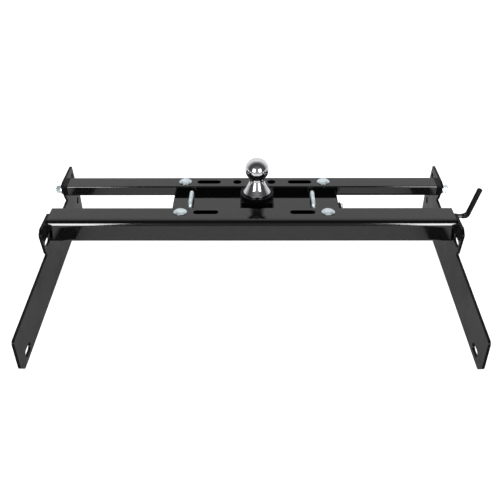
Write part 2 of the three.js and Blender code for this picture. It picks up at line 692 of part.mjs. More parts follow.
function buildLatch() {
  const latch = new THREE.Group();
  latch.position.set(0, 0, LATCH_Z);
  const hangerTop = BASE_BOTTOM - GAP - LATCH_Z;
  const baseEdge = HEAD_X + BASE_WIDTH / 2 + GAP;
  const edgeLevel = BASE_TOP - PLATE / 2 - LATCH_Z;
  const springX = COLLAR_X + COLLAR_WIDTH;
  const spring = springGeometry(LATCH_SPRING_RADIUS, SPRING_WIRE, BRACKET_X - springX, 6);
  const bracketEnd = BRACKET_X + BRACKET_THICKNESS;
  const guideEnd = baseEdge + GUIDE_THICKNESS;
  const boltHead = cylinderX(6.2, guideEnd + GAP, guideEnd + GUIDE_BOLT_HEIGHT, 6);
  const bracket = hangerGeometry(BRACKET_X, bracketEnd, -22, 22, hangerTop, LATCH_HOLE_RADIUS);
  const guide = hangerGeometry(baseEdge, guideEnd, -12, 16, edgeLevel + 7, ROD_RADIUS + 0.6);
  const retainer = cylinderZ(RETAINER_RADIUS, -6.4, 6.4, 8);
  latch.add(piece("latch_pin", latchPinGeometry(), darkSteel));
  latch.add(piece("latch_collar", latchCollarGeometry(), zinc));
  latch.add(piece("latch_spring", spring, springSteel, [springX, 0, 0], [0, Math.PI / 2, 0]));
  latch.add(piece("latch_retaining_pin", retainer, springSteel, [GROOVE_X, RETAINER_Y, 0]));
  latch.add(piece("latch_bracket", bracket, blackPaint));
  latch.add(piece("handle_guide", guide, blackPaint));
  latch.add(piece("handle_guide_bolt", boltHead, zinc, [0, 9, edgeLevel]));
  latch.add(piece("handle_rod", handleRodGeometry(), darkSteel));
  latch.add(piece("handle_grip", handleGripGeometry(), vinyl));
  return latch;
}

// ---------------------------------------------------------------- safety-chain U-bolts
function loopGeometry() {
  const corner = (y, z) => new THREE.Vector3(0, y, z);
  const path = bentPath([
    corner(-LOOP_LEG_Y, -LOOP_DROP),
    corner(-LOOP_LEG_Y, LOOP_RISE),
    corner(LOOP_LEG_Y, LOOP_RISE),
    corner(LOOP_LEG_Y, -LOOP_DROP),
  ], LOOP_CORNER);
  return sweep(LOOP_RADIUS, path, 36, 4);
}

function buildLoops() {
  const loops = new THREE.Group();
  const springTop = BASE_BOTTOM - HEAD_TOP;
  const washerTop = springTop - SPRING_LENGTH;
  const nutTop = washerTop - WASHER_THICKNESS - GAP;
  for (const [sideName, side] of SIDES) {
    const loop = new THREE.Group();
    loop.position.set(LOOP_X + side * LOOP_SPREAD, 0, HEAD_TOP);
    loop.add(piece(`ubolt_${sideName}`, loopGeometry(), zinc));
    for (const [rowName, row] of ROWS) {
      const name = `${sideName}_${rowName}`;
      const y = row * LOOP_LEG_Y;
      const bore = LOOP_RADIUS + LOOP_NUT_CLEARANCE;
      const washer = washerGeometry(LOOP_WASHER_RADIUS, bore, WASHER_THICKNESS);
      const nut = hexNutGeometry(LOOP_NUT_FLATS, bore, LOOP_NUT_HEIGHT);
      const spring = springGeometry(LOOP_SPRING_RADIUS, SPRING_WIRE, SPRING_LENGTH, 4.5);
      loop.add(piece(`ubolt_spring_${name}`, spring, springSteel, [0, y, washerTop]));
      loop.add(piece(`ubolt_washer_${name}`, washer, zinc, [0, y, washerTop - WASHER_THICKNESS]));
      loop.add(piece(`ubolt_nut_${name}`, nut, zinc, [0, y, nutTop - LOOP_NUT_HEIGHT]));
    }
    loops.add(loop);
  }
  return loops;
}

// ---------------------------------------------------------------- assembly
const hitch = new THREE.Group();
hitch.add(buildRails());
hitch.add(buildSidePlates());
hitch.add(buildHead());
hitch.add(buildCarriageBolts());
hitch.add(piece("gooseneck_ball", ballGeometry(), chrome));
hitch.add(buildLatch());
hitch.add(buildLoops());

export default hitch;
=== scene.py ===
import json
import math

import bpy
from mathutils import Matrix, Vector

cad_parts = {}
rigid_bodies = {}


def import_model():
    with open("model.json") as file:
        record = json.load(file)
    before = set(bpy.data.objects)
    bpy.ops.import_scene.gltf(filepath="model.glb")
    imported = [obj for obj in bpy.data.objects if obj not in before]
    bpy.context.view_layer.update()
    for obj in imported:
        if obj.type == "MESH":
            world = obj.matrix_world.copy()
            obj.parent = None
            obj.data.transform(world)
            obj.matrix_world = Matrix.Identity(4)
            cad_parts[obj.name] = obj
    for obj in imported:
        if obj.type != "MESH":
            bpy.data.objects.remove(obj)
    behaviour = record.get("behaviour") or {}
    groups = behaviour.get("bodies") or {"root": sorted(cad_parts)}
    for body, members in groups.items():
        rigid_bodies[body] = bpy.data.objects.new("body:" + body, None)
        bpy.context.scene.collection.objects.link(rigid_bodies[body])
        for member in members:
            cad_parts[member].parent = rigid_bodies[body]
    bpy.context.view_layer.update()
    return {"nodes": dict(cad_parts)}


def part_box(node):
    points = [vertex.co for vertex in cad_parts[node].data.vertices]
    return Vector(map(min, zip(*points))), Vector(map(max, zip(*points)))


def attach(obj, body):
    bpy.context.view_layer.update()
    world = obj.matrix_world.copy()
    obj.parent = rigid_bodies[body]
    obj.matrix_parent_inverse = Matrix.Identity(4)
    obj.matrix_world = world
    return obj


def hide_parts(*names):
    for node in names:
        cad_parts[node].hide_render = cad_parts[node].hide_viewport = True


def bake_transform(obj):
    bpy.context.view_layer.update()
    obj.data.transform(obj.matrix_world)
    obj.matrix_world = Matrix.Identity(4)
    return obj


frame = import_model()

# A gooseneck under-bed hitch: black rails, plates and socket keep their CAD shape with softened
# edges; the ball, bolts, nuts, rods and springs are remade smooth, in the same places.
# Metres, +X to the right, +Z up, the origin on the flat on top of the ball.

NODES = frame["nodes"]
SIDES = ("left", "right")
ROWS = ("rear", "front")
MM = 0.001

# ---------------------------------------------------------------- camera
CAMERA_PLACE = Vector((-2.1, -1616.5, 782.8)) * MM
CAMERA_DOWN = math.radians(32.98)
CAMERA_TURN = math.radians(0.584)
CAMERA_ROLL = math.radians(-0.332)
LENS = 52.06

# ---------------------------------------------------------------- sizes the boxes don't give
BALL_RADIUS = 0.02937
BALL_FLAT = 0.01
NECK_RADIUS = 0.0182
FOOT_RADIUS = 0.034
FOOT_HEIGHT = 0.004
SHANK_HALF = 0.0254
SHANK_CORNER = 0.008
SOCKET_HALF = 0.04
CLEARANCE = 0.0003
AXIS_RADIUS = 0.00001  # a turned profile's radius where it meets its axis
LONGEST_SETBACK = 0.49  # share of a line's side that one rounded corner may take

# rounded edges of the painted steel
STEEL_BEVEL = 0.0007
PLATE_BEVEL = 0.0008
RAIL_END_BEVEL = 0.0005
SMALL_BEVEL = 0.0004
SMOOTH_ANGLE = math.radians(28)
BEVEL_ANGLE = math.radians(32)

# edges of nuts and bores
NUT_CROWN = 0.97
NUT_CHAMFER = math.radians(30)
BORE_EDGE = 0.0006
FLANGE_HEIGHT = 0.0025
FLANGE_RIM = 0.0012
FLANGE_EDGE = 0.0004

# carriage bolts and their flange nuts
BOLT_RADIUS = 0.0078
BOLT_PITCH = 0.0023
BOLT_THREAD_LENGTH = 0.034
BOLT_THREAD_OVERLAP = 0.002
BOLT_RIM = 0.0012
BOLT_EDGE = 0.0005
DOME_STEPS = 14
DOME_POWER = 2.4
FLANGE_NUT_FLATS = 0.0237
FLANGE_NUT_BORE = 0.0081
FLANGE_NUT_HEIGHT = 0.015
FLANGE_RADIUS = 0.016

# studs, washers and nuts at the ends of the rails
STUD_RADIUS = 0.00625
STUD_THREAD_RADIUS = 0.00635
STUD_THREAD_LENGTH = 0.0245
STUD_THREAD_OVERLAP = 0.0005
STUD_PITCH = 0.0019
END_WASHER_BORE = 0.0068
END_WASHER_RADIUS = 0.013
END_WASHER_HALF = 0.00125
END_NUT_FLATS = 0.019
END_NUT_BORE = 0.0066
END_NUT_HEIGHT = 0.011
END_NUT_TURN = 0.35

# U-bolts, their washers, lock nuts and springs
LOOP_ROD = 0.005
LOOP_BEND = 0.013
LOOP_THREAD_LENGTH = 0.03
LOOP_PITCH = 0.0016
LOOP_WASHER_BORE = 0.0055
LOOP_WASHER_RADIUS = 0.0115
LOOP_WASHER_THICKNESS = 0.0025
LOCK_NUT_FLATS = 0.016
LOCK_NUT_BORE = 0.0054
SPRING_WIRE = 0.0013
LOOP_SPRING_RADIUS = 0.0078
LOOP_SPRING_TURNS = 6

# latch and handle
PIN_NOSE_TAPER = 0.0022
PIN_NOSE_LENGTH = 0.0042
PIN_EDGE = 0.0008
PIN_BORE = 0.0058
PIN_BORE_DEPTH = 0.023
PIN_HOLE_RADIUS = 0.0099
COLLAR_RADIUS = 0.016
COLLAR_WIDTH = 0.006
LATCH_SPRING_RADIUS = 0.013
LATCH_SPRING_TURNS = 8
GUIDE_BOLT_FLATS = 0.0107
GUIDE_BOLT_HEIGHT = 0.0057
HANDLE_ROD = 0.0055
HANDLE_BEND_X = 0.5226
HANDLE_BEND_RADIUS = 0.024
HANDLE_BEND_ANGLE = math.radians(74.4)
HANDLE_END_LENGTH = 0.064
GRIP_WALL = 0.0013
GRIP_NOSE = 0.0028
GRIP_PLAIN_END = 0.008
RIB_PITCH = 0.0048
RIB_DEPTH = 0.00022

# weld beads
SOCKET_BEAD = 0.0028
SMALL_BEAD = 0.0022
BEAD_INSET = 0.004
RIPPLE_PITCH = 0.0026

# ---------------------------------------------------------------- floor and light
FLOOR_SIZE = 20
FLOOR_FRONT = 0.6
FLOOR_SLOPE = math.atan2(0.029, 0.649)
PLATE_TIP_Y = -0.430
FLOOR_GLOW = 0.22
FLOOR_GLOW_SEEN = 0.7
OVERHEAD_POWER = 60
OVERHEAD_SIZE = 4
OVERHEAD_PLACE = (0, -0.4, 3)
BACK_WALL_LIGHT = 0.78
ROOM_LIGHT = 0.06
SOFTBOX_POWER = 260
POLISHED_POWER = 55
ZINC_CARD_POWER = 8
ZINC_CARD_SIZE = 2.5
ZINC_CARD_HEIGHT = 2
SOFTBOX_DISTANCE = 5
SOFTBOX_WIDTH = 2.4
SOFTBOX_HEIGHT = 2.8
SOFTBOX_TURN = 29.5
SOFTBOX_ELEVATION = math.radians(12)

# ---------------------------------------------------------------- colours, linear
RAIL_BLACK = (0.068, 0.068, 0.069)
RAIL_DUST = (0.074, 0.074, 0.075)
PAINT_BLACK = (0.006, 0.006, 0.0065)
PAINT_DUST = (0.012, 0.012, 0.0125)
ZINC_LIGHT = (0.86, 0.95, 0.99)
ZINC_DARK = (0.6, 0.69, 0.73)
CHROME_LIGHT = (0.9, 0.89, 0.92)
CHROME_DARK = (0.82, 0.81, 0.84)
OXIDE_LIGHT = (0.03, 0.03, 0.032)
OXIDE_DARK = (0.012, 0.012, 0.013)
SPRING_DARK = (0.2, 0.2, 0.2)
SPRING_LIGHT = (0.5, 0.5, 0.5)
VINYL_BLACK = (0.012, 0.012, 0.013)
FLOOR_PALE = (0.82, 0.82, 0.82)
FLOOR_GREY = (0.8, 0.8, 0.8)
WHITE = (1, 1, 1, 1)


# ---------------------------------------------------------------- materials
def new_material(name):
    material = bpy.data.materials.new(name)
    material.use_nodes = True
    tree = material.node_tree
    shader = tree.nodes["Principled BSDF"]
    place = tree.nodes.new("ShaderNodeTexCoord").outputs["Object"]
    return material, tree, shader, place


def noise(tree, place, scale, detail=3.0, roughness=0.55):
    node = tree.nodes.new("ShaderNodeTexNoise")
    node.inputs["Scale"].default_value = scale
    node.inputs["Detail"].default_value = detail
    node.inputs["Roughness"].default_value = roughness
    tree.links.new(place, node.inputs["Vector"])
    return node.outputs["Fac"]


def spread(tree, value, low, high, start=0.3, end=0.7):
    """Maps a noise value from start..end to low..high."""
    node = tree.nodes.new("ShaderNodeMapRange")
    node.inputs["From Min"].default_value = start
    node.inputs["From Max"].default_value = end
    node.inputs["To Min"].default_value = low
    node.inputs["To Max"].default_value = high
    tree.links.new(value, node.inputs["Value"])
    return node.outputs["Result"]


def two_tone(tree, value, first, second):
    node = tree.nodes.new("ShaderNodeMix")
    node.data_type = "RGBA"
    node.inputs["A"].default_value = (*first, 1)
    node.inputs["B"].default_value = (*second, 1)
    tree.links.new(value, node.inputs["Factor"])
    return node.outputs["Result"]


def bump(tree, shader, heights):
    """Chains bumps of (height value, distance in metres, strength) into the shader's normal."""
    normal = None
    for height, distance, strength in heights:
        node = tree.nodes.new("ShaderNodeBump")
        node.inputs["Distance"].default_value = distance
        node.inputs["Strength"].default_value = strength
        tree.links.new(height, node.inputs["Height"])
        if normal:
            tree.links.new(normal, node.inputs["Normal"])
        normal = node.outputs["Normal"]
    tree.links.new(normal, shader.inputs["Normal"])


def powder_coat(name, clean, dusty, gloss_low, gloss_high, metallic, ior):
    """Gloss black powder coat: orange peel, faint dust and uneven gloss."""
    material, tree, shader, place = new_material(name)
    dust = spread(tree, noise(tree, place, 55, 5), 0, 1, 0.45, 0.8)
    gloss = spread(tree, noise(tree, place, 14, 4), gloss_low, gloss_high)
    tree.links.new(two_tone(tree, dust, clean, dusty), shader.inputs["Base Color"])
    tree.links.new(gloss, shader.inputs["Roughness"])
    shader.inputs["Metallic"].default_value = metallic
    shader.inputs["IOR"].default_value = ior
    peel = noise(tree, place, 420, 2)
    sag = noise(tree, place, 9, 2)
    bump(tree, shader, [(sag, 0.0003, 0.08), (peel, 0.00008, 0.1)])
    return material


def plated(name, light, dark, rough_low, rough_high, metallic=1.0, grain=260, grain_strength=0.12):
    """Bare or plated metal with cloudy tone, uneven polish and a fine grain."""
    material, tree, shader, place = new_material(name)
    cloud = spread(tree, noise(tree, place, 70, 4), 0, 1, 0.4, 0.75)
    polish = spread(tree, noise(tree, place, 120, 4), rough_low, rough_high)
    tree.links.new(two_tone(tree, cloud, light, dark), shader.inputs["Base Color"])
    tree.links.new(polish, shader.inputs["Roughness"])
    shader.inputs["Metallic"].default_value = metallic
    bump(tree, shader, [(noise(tree, place, grain, 3), 0.0002, grain_strength)])
    return material


def vinyl(name):
    """Dipped vinyl: matte black with a pebbled grain."""
    material, tree, shader, place = new_material(name)
    tone = spread(tree, noise(tree, place, 180, 3), 0, 1)
    tree.links.new(two_tone(tree, tone, VINYL_BLACK, PAINT_DUST), shader.inputs["Base Color"])
    tree.links.new(spread(tree, noise(tree, place, 300, 3), 0.42, 0.6), shader.inputs["Roughness"])
    shader.inputs["Specular IOR Level"].default_value = 0.12
    bump(tree, shader, [(noise(tree, place, 900, 2), 0.0003, 0.35)])
    return material


RAIL_PAINT = powder_coat("rail_paint", RAIL_BLACK, RAIL_DUST, 0.05, 0.1, 1, 1.45)
PLATE_PAINT = powder_coat("plate_paint", PAINT_BLACK, PAINT_DUST, 0.2, 0.3, 0, 1.16)
ZINC = plated("zinc_plate", ZINC_LIGHT, ZINC_DARK, 0.24, 0.36, 0.95)
LOOP_ZINC = plated("zinc_loops", ZINC_LIGHT, ZINC_DARK, 0.45, 0.58, 0.9)
CHROME = plated("chrome_plate", CHROME_LIGHT, CHROME_DARK, 0.01, 0.025, 1.0, 40, 0.01)
OXIDE = plated("black_oxide", OXIDE_LIGHT, OXIDE_DARK, 0.16, 0.26, 0.0)
SPRING = plated("spring_wire", SPRING_LIGHT, SPRING_DARK, 0.25, 0.4)
VINYL = vinyl("vinyl_grip")


# ---------------------------------------------------------------- shapes
def mesh_from_rings(name, rings, loop=False):
    """Joins rings of equal length with quads; loop joins the last ring to the first."""
    count = len(rings[0])
    points = [p for ring in rings for p in ring]
    faces = []
    for r in range(len(rings) if loop else len(rings) - 1):
        here = r * count
        there = ((r + 1) % len(rings)) * count
        for i in range(count):
            j = (i + 1) % count
            faces.append((here + i, here + j, there + j, there + i))
    if not loop:
        last = (len(rings) - 1) * count
        faces.append(tuple(reversed(range(count))))
        faces.append(tuple(range(last, last + count)))
    mesh = bpy.data.meshes.new(name)
    mesh.from_pydata(points, [], faces)
    mesh.validate()
    return mesh


def rounded_line(points, radius, steps):
    """A line through points with its inner corners rounded to a radius."""
    line = [Vector(points[0])]
    for i in range(1, len(points) - 1):
        corner = Vector(points[i])
        before = Vector(points[i - 1]) - corner
        after = Vector(points[i + 1]) - corner
        half = before.angle(after) / 2
        longest = LONGEST_SETBACK * min(before.length, after.length)
        setback = min(radius / math.tan(half), longest)
        start = corner + before.normalized() * setback
        end = corner + after.normalized() * setback
        for s in range(steps + 1):
            t = s / steps
            line.append(start * (1 - t) ** 2 + corner * 2 * t * (1 - t) + end * t ** 2)
    line.append(Vector(points[-1]))
    return line


def turned(name, profile, sides, loop=False):
    """A profile of (radius, height) turned about Z."""
    angles = [2 * math.pi * i / sides for i in range(sides)]
    rings = []
    for out, level in profile:
        radius = max(out, AXIS_RADIUS)
        rings.append([(radius * math.cos(a), radius * math.sin(a), level) for a in angles])
    return mesh_from_rings(name, rings, loop=loop)


def tube(name, line, radius, sides=20):
    """A round tube along a line; radius is a value or a function of the share of the way along."""
    rings = []
    tangent = (line[1] - line[0]).normalized()
    side = tangent.orthogonal().normalized()
    for i, p in enumerate(line):
        ahead = line[min(i + 1, len(line) - 1)] - line[max(i - 1, 0)]
        turn = tangent.rotation_difference(ahead.normalized())
        side = (turn @ side).normalized()
        tangent = ahead.normalized()
        across = tangent.cross(side)
        r = radius(i / (len(line) - 1)) if callable(radius) else radius
        angles = [2 * math.pi * k / sides for k in range(sides)]
        rings.append([p + side * (r * math.cos(a)) + across * (r * math.sin(a)) for a in angles])
    return mesh_from_rings(name, rings)


def round_ended(length, radius, nose):
    """Radius function for a tube whose two ends round off over nose metres."""
    def at(t):
        edge = min(t, 1 - t) * length
        if edge >= nose:
            return radius
        return radius * math.sqrt(max(1 - ((nose - edge) / nose) ** 2, 0.02))
    return at


def spaced(line, gap):
    """The same line with points about gap metres apart."""
    out = [line[0]]
    for a, b in zip(line, line[1:]):
        steps = max(1, round((b - a).length / gap))
        out += [a.lerp(b, (k + 1) / steps) for k in range(steps)]
    return out


def helix_line(radius, length, turns, steps_per_turn=24):
    """A spring's centre line with flat end turns."""
    line = []
    count = int(turns * steps_per_turn)
    for i in range(count + 1):
        t = i / count
        share = min(max((t * turns - 0.75) / (turns - 1.5), 0), 1)
        angle = 2 * math.pi * turns * t
        line.append(Vector((radius * math.cos(angle), radius * math.sin(angle), length * share)))
    return line


def hex_ring(name, across_flats, bore, height, flange=0.0):
    """A chamfered hexagon nut about Z from 0 to height; flange widens its foot into a washer."""
    sides = 72
    flat = across_flats / 2
    crown = flat * NUT_CROWN
    slope = math.tan(NUT_CHAMFER)

    def hex_radius(angle):
        return flat / math.cos((angle + math.pi / 6) % (math.pi / 3) - math.pi / 6)

    def chamfered(angle, level, up):
        out = hex_radius(angle)
        return out, level - up * (out - crown) * slope

    edge = BORE_EDGE
    rows = [lambda a: (bore, edge), lambda a: (bore + edge, 0)]
    if flange:
        rows += [lambda a: (flange - FLANGE_EDGE, 0), lambda a: (flange, FLANGE_EDGE),
                 lambda a: (flange, FLANGE_RIM), lambda a: (hex_radius(a) + 0.0002, FLANGE_HEIGHT)]
    else:
        rows += [lambda a: (crown, 0), lambda a: chamfered(a, 0, -1)]
    rows += [lambda a: chamfered(a, height, 1), lambda a: (crown, height),
             lambda a: (bore + edge, height), lambda a: (bore, height - edge)]
    rings = []
    for row in rows:
        ring = []
        for i in range(sides):
            angle = 2 * math.pi * i / sides
            radius, level = row(angle)
            ring.append((radius * math.cos(angle), radius * math.sin(angle), level))
        rings.append(ring)
    return mesh_from_rings(name, rings, loop=True)


def threaded(name, radius, length, pitch, tip=0.0012, sides=32):
    """A threaded rod about Z from 0 to length, with a chamfered far end."""
    steps = int(length / pitch * 6)
    depth = pitch * 0.5
    rings = []
    for k in range(steps + 1):
        level = length * k / steps
        ring = []
        for i in range(sides):
            angle = 2 * math.pi * i / sides
            phase = (level / pitch - i / sides) % 1
            cut = depth * (1 - abs(2 * phase - 1))
            taper = max(0, (level - (length - tip)) / tip) * 0.0016
            out = radius - max(cut, taper)
            ring.append((out * math.cos(angle), out * math.sin(angle), level))
        rings.append(ring)
    return mesh_from_rings(name, rings)


def joined(name, parts):
    """One mesh from several (mesh, matrix) pairs."""
    mesh = bpy.data.meshes.new(name)
    points = []
    faces = []
    for part, matrix in parts:
        start = len(points)
        points += [matrix @ v.co for v in part.vertices]
        faces += [[start + i for i in face.vertices] for face in part.polygons]
    mesh.from_pydata(points, [], faces)
    return mesh


def piece(name, mesh, material, body, matrix=Matrix.Identity(4), sharp=32, replaces=()):
    """Places a finished mesh in the frame, shades it and puts it on its body."""
    mesh.transform(matrix)
    mesh.materials.clear()
    mesh.materials.append(material)
    mesh.shade_smooth()
    mesh.set_sharp_from_angle(angle=math.radians(sharp))
    made = bpy.data.objects.new(name, mesh)
    bpy.context.scene.collection.objects.link(made)
    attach(made, body)
    if replaces:
        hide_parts(*replaces)
    return made


def at(x, y, z):
    return Matrix.Translation((x, y, z))


ALONG_X = Matrix.Rotation(math.pi / 2, 4, "Y")
ALONG_MINUS_X = Matrix.Rotation(-math.pi / 2, 4, "Y")
UPSIDE_DOWN = Matrix.Rotation(math.pi, 4, "X")


def middle(node):
    low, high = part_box(node)
    return (low + high) / 2


# ---------------------------------------------------------------- painted steel that keeps its CAD shape
def smooth_group():
    """Geometry nodes that shade smooth wherever two faces meet at less than 28 degrees."""
    group = bpy.data.node_groups.new("smooth_by_angle", "GeometryNodeTree")
    group.interface.new_socket("Geometry", in_out="INPUT", socket_type="NodeSocketGeometry")
    group.interface.new_socket("Geometry", in_out="OUTPUT", socket_type="NodeSocketGeometry")
    start = group.nodes.new("NodeGroupInput")
    end = group.nodes.new("NodeGroupOutput")
    faces = group.nodes.new("GeometryNodeSetShadeSmooth")
    edges = group.nodes.new("GeometryNodeSetShadeSmooth")
    edges.domain = "EDGE"
    angle = group.nodes.new("GeometryNodeInputMeshEdgeAngle")
    compare = group.nodes.new("FunctionNodeCompare")
    compare.operation = "LESS_THAN"
    compare.inputs[1].default_value = SMOOTH_ANGLE
    group.links.new(start.outputs[0], faces.inputs["Geometry"])
    group.links.new(faces.outputs[0], edges.inputs["Geometry"])
    group.links.new(angle.outputs["Unsigned Angle"], compare.inputs[0])
    group.links.new(compare.outputs["Result"], edges.inputs["Shade Smooth"])
    group.links.new(edges.outputs[0], end.inputs[0])
    return group


SMOOTH_BY_ANGLE = smooth_group()


def soften(node, material, width):
    """Rounds a CAD node's hard edges with modifiers and paints it."""
    obj = NODES[node]
    weld = obj.modifiers.new("weld", "WELD")
    weld.merge_threshold = 0.00002
    flat = obj.modifiers.new("flat", "DECIMATE")
    flat.decimate_type = "DISSOLVE"
    flat.angle_limit = math.radians(0.6)
    bevel = obj.modifiers.new("bevel", "BEVEL")
    bevel.width = width
    bevel.segments = 2
    bevel.limit_method = "ANGLE"
    bevel.angle_limit = BEVEL_ANGLE
    smooth = obj.modifiers.new("smooth", "NODES")
    smooth.node_group = SMOOTH_BY_ANGLE
    flatten = obj.modifiers.new("flatten", "WEIGHTED_NORMAL")
    flatten.keep_sharp = True
    flatten.weight = 100
    obj.data.materials.clear()
    obj.data.materials.append(material)


def paint_steel():
    corners = [f"{row}_{side}" for row in ROWS for side in SIDES]
    for node in ("rear_rail", "front_rail", "head_top_plate", "head_base_plate"):
        soften(node, RAIL_PAINT, STEEL_BEVEL)
    for node in ("side_plate_left", "side_plate_right"):
        soften(node, PLATE_PAINT, PLATE_BEVEL)
    for node in ("ball_socket", "head_gusset_rear", "head_gusset_front", "latch_bracket", "handle_guide"):
        soften(node, PLATE_PAINT, STEEL_BEVEL)
    for corner in corners:
        soften(f"rail_end_{corner}", PLATE_PAINT, RAIL_END_BEVEL)
    for node in ("rail_spacer_left", "rail_spacer_right", "latch_retaining_pin"):
        soften(node, OXIDE, SMALL_BEVEL)


# ---------------------------------------------------------------- ball
def ball_profile(top, foot_low):
    """Half outline of the ball from the flat on top to the underside of its foot."""
    centre = top - math.sqrt(BALL_RADIUS ** 2 - BALL_FLAT ** 2)
    flat_angle = math.asin(BALL_FLAT / BALL_RADIUS) + 0.02
    neck_angle = math.pi - math.asin(NECK_RADIUS / BALL_RADIUS)
    profile = [(0, top), (BALL_FLAT - 0.0008, top)]
    arc_steps = 40
    for i in range(arc_steps + 1):
        angle = flat_angle + (neck_angle - flat_angle) * i / arc_steps
        profile.append((BALL_RADIUS * math.sin(angle), centre + BALL_RADIUS * math.cos(angle)))
    neck_level = profile[-1][1]
    flare_top = neck_level - 0.003
    foot_top = foot_low + FOOT_HEIGHT
    flare_steps = 18
    for i in range(1, flare_steps + 1):
        t = i / flare_steps
        waist = 0.0006 * math.sin(math.pi * t)
        out = NECK_RADIUS + (FOOT_RADIUS - 0.0006 - NECK_RADIUS) * t ** 1.35 - waist
        profile.append((out, flare_top + (foot_top - flare_top) * t))
    profile += [(FOOT_RADIUS, foot_top - 0.001), (FOOT_RADIUS, foot_low + 0.0006)]
    profile += [(FOOT_RADIUS - 0.0006, foot_low), (0, foot_low)]
    return profile


def shank_outline():
    """The square shank's section with its rounded corners."""
    flat = SHANK_HALF - SHANK_CORNER
    square = [(SHANK_HALF, -flat), (SHANK_HALF, flat), (flat, SHANK_HALF), (-flat, SHANK_HALF),
              (-SHANK_HALF, flat), (-SHANK_HALF, -flat), (-flat, -SHANK_HALF), (flat, -SHANK_HALF)]
    outline = []
    for i in range(0, 8, 2):
        start = Vector(square[i + 1])
        end = Vector(square[(i + 2) % 8])
        corner = Vector((start.x, end.y)) if i % 4 == 0 else Vector((end.x, start.y))
        for k in range(7):
            t = k / 6
            outline.append(start * (1 - t) ** 2 + corner * 2 * t * (1 - t) + end * t ** 2)
    return outline


def make_ball():
    low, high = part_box("gooseneck_ball")
    foot_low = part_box("ball_socket")[1].z + CLEARANCE
    profile = ball_profile(high.z, foot_low)
    profile.reverse()
    body = turned("chrome_ball", profile, 96)
    piece("chrome_ball", body, CHROME, "hitch_ball", sharp=30, replaces=["gooseneck_ball"])
    outline = shank_outline()
    levels = [(low.z, 0.94), (low.z + 0.003, 1), (foot_low, 1)]
    rings = [[(p.x * share, p.y * share, z) for p in outline] for z, share in levels]
    mesh = mesh_from_rings("ball_shank", rings)
    shank = piece("ball_square_shank", mesh, CHROME, "hitch_ball", sharp=30)
    drill = shank_drill(middle("latch_pin").z)
    cut = shank.modifiers.new("cross_hole", "BOOLEAN")
    cut.object = drill
    cut.operation = "DIFFERENCE"
    apply_modifiers(shank)
    bpy.data.objects.remove(drill)


def shank_drill(level):
    """A cylinder along X through the shank, used once to cut the latch pin's hole."""
    mesh = turned("shank_drill", [(PIN_HOLE_RADIUS, -0.06), (PIN_HOLE_RADIUS, 0.06)], 48)
    mesh.transform(at(0, 0, level) @ ALONG_X)
    drill = bpy.data.objects.new("shank_drill", mesh)
    bpy.context.scene.collection.objects.link(drill)
    return drill


def apply_modifiers(obj):
    graph = bpy.context.evaluated_depsgraph_get()
    mesh = bpy.data.meshes.new_from_object(obj.evaluated_get(graph))
    obj.modifiers.clear()
    obj.data = mesh


# ---------------------------------------------------------------- bolts
def bolt_profile(rise, head, plain_end):
    """Half outline of a carriage bolt, from where its thread starts up to its domed head."""
    profile = [(0, rise)]
    for i in range(1, DOME_STEPS + 1):
        share = i / DOME_STEPS
        profile.append((head * share, BOLT_RIM + (rise - BOLT_RIM) * (1 - share ** DOME_POWER)))
    profile += [(head, BOLT_EDGE), (head - BOLT_EDGE, 0), (BOLT_RADIUS, 0)]
    profile += [(BOLT_RADIUS, plain_end), (0, plain_end)]
    profile.reverse()
    return profile


def make_carriage_bolts():
    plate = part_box("head_base_plate")[0].z
    for row in ROWS:
        for side in SIDES:
            node = f"carriage_bolt_{row}_{side}"
            low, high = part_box(node)
            centre = (low + high) / 2
            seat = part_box("rear_rail")[1].z + CLEARANCE
            thread_end = low.z - seat + BOLT_THREAD_LENGTH
            profile = bolt_profile(high.z - seat, (high.x - low.x) / 2, thread_end - BOLT_THREAD_OVERLAP)
            shank = turned(node, profile, 48)
            thread = threaded(node, BOLT_RADIUS, BOLT_THREAD_LENGTH, BOLT_PITCH)
            thread_top = at(0, 0, thread_end) @ UPSIDE_DOWN
            mesh = joined(node + "_smooth", [(shank, Matrix.Identity(4)), (thread, thread_top)])
            place = at(centre.x, centre.y, seat)
            piece(node + "_smooth", mesh, ZINC, "hitch_frame", place, replaces=[node])
            nut = f"flange_nut_{row}_{side}"
            mesh = hex_ring(nut, FLANGE_NUT_FLATS, FLANGE_NUT_BORE, FLANGE_NUT_HEIGHT, flange=FLANGE_RADIUS)
            place = at(centre.x, centre.y, plate - CLEARANCE) @ UPSIDE_DOWN
            piece(nut + "_smooth", mesh, ZINC, "hitch_frame", place, replaces=[nut])


def make_end_stud(corner, centre, sign, outward):
    """The partly threaded stud through a rail end and its side plate."""
    node = f"end_stud_{corner}"
    low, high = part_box(f"end_stud_{corner}")
    root = low.x if sign > 0 else high.x
    length = high.x - low.x
    thread_start = length - STUD_THREAD_LENGTH
    plain_end = thread_start + STUD_THREAD_OVERLAP
    profile = [(0, 0), (STUD_RADIUS, 0), (STUD_RADIUS, plain_end), (0, plain_end)]
    body = turned("stud", profile, 40)
    thread = threaded("stud_thread", STUD_THREAD_RADIUS, STUD_THREAD_LENGTH, STUD_PITCH)
    mesh = joined(node + "_smooth", [(body, Matrix.Identity(4)), (thread, at(0, 0, thread_start))])
    place = at(root, centre.y, centre.z) @ outward
    piece(mesh.name, mesh, ZINC, "hitch_frame", place, replaces=[node])


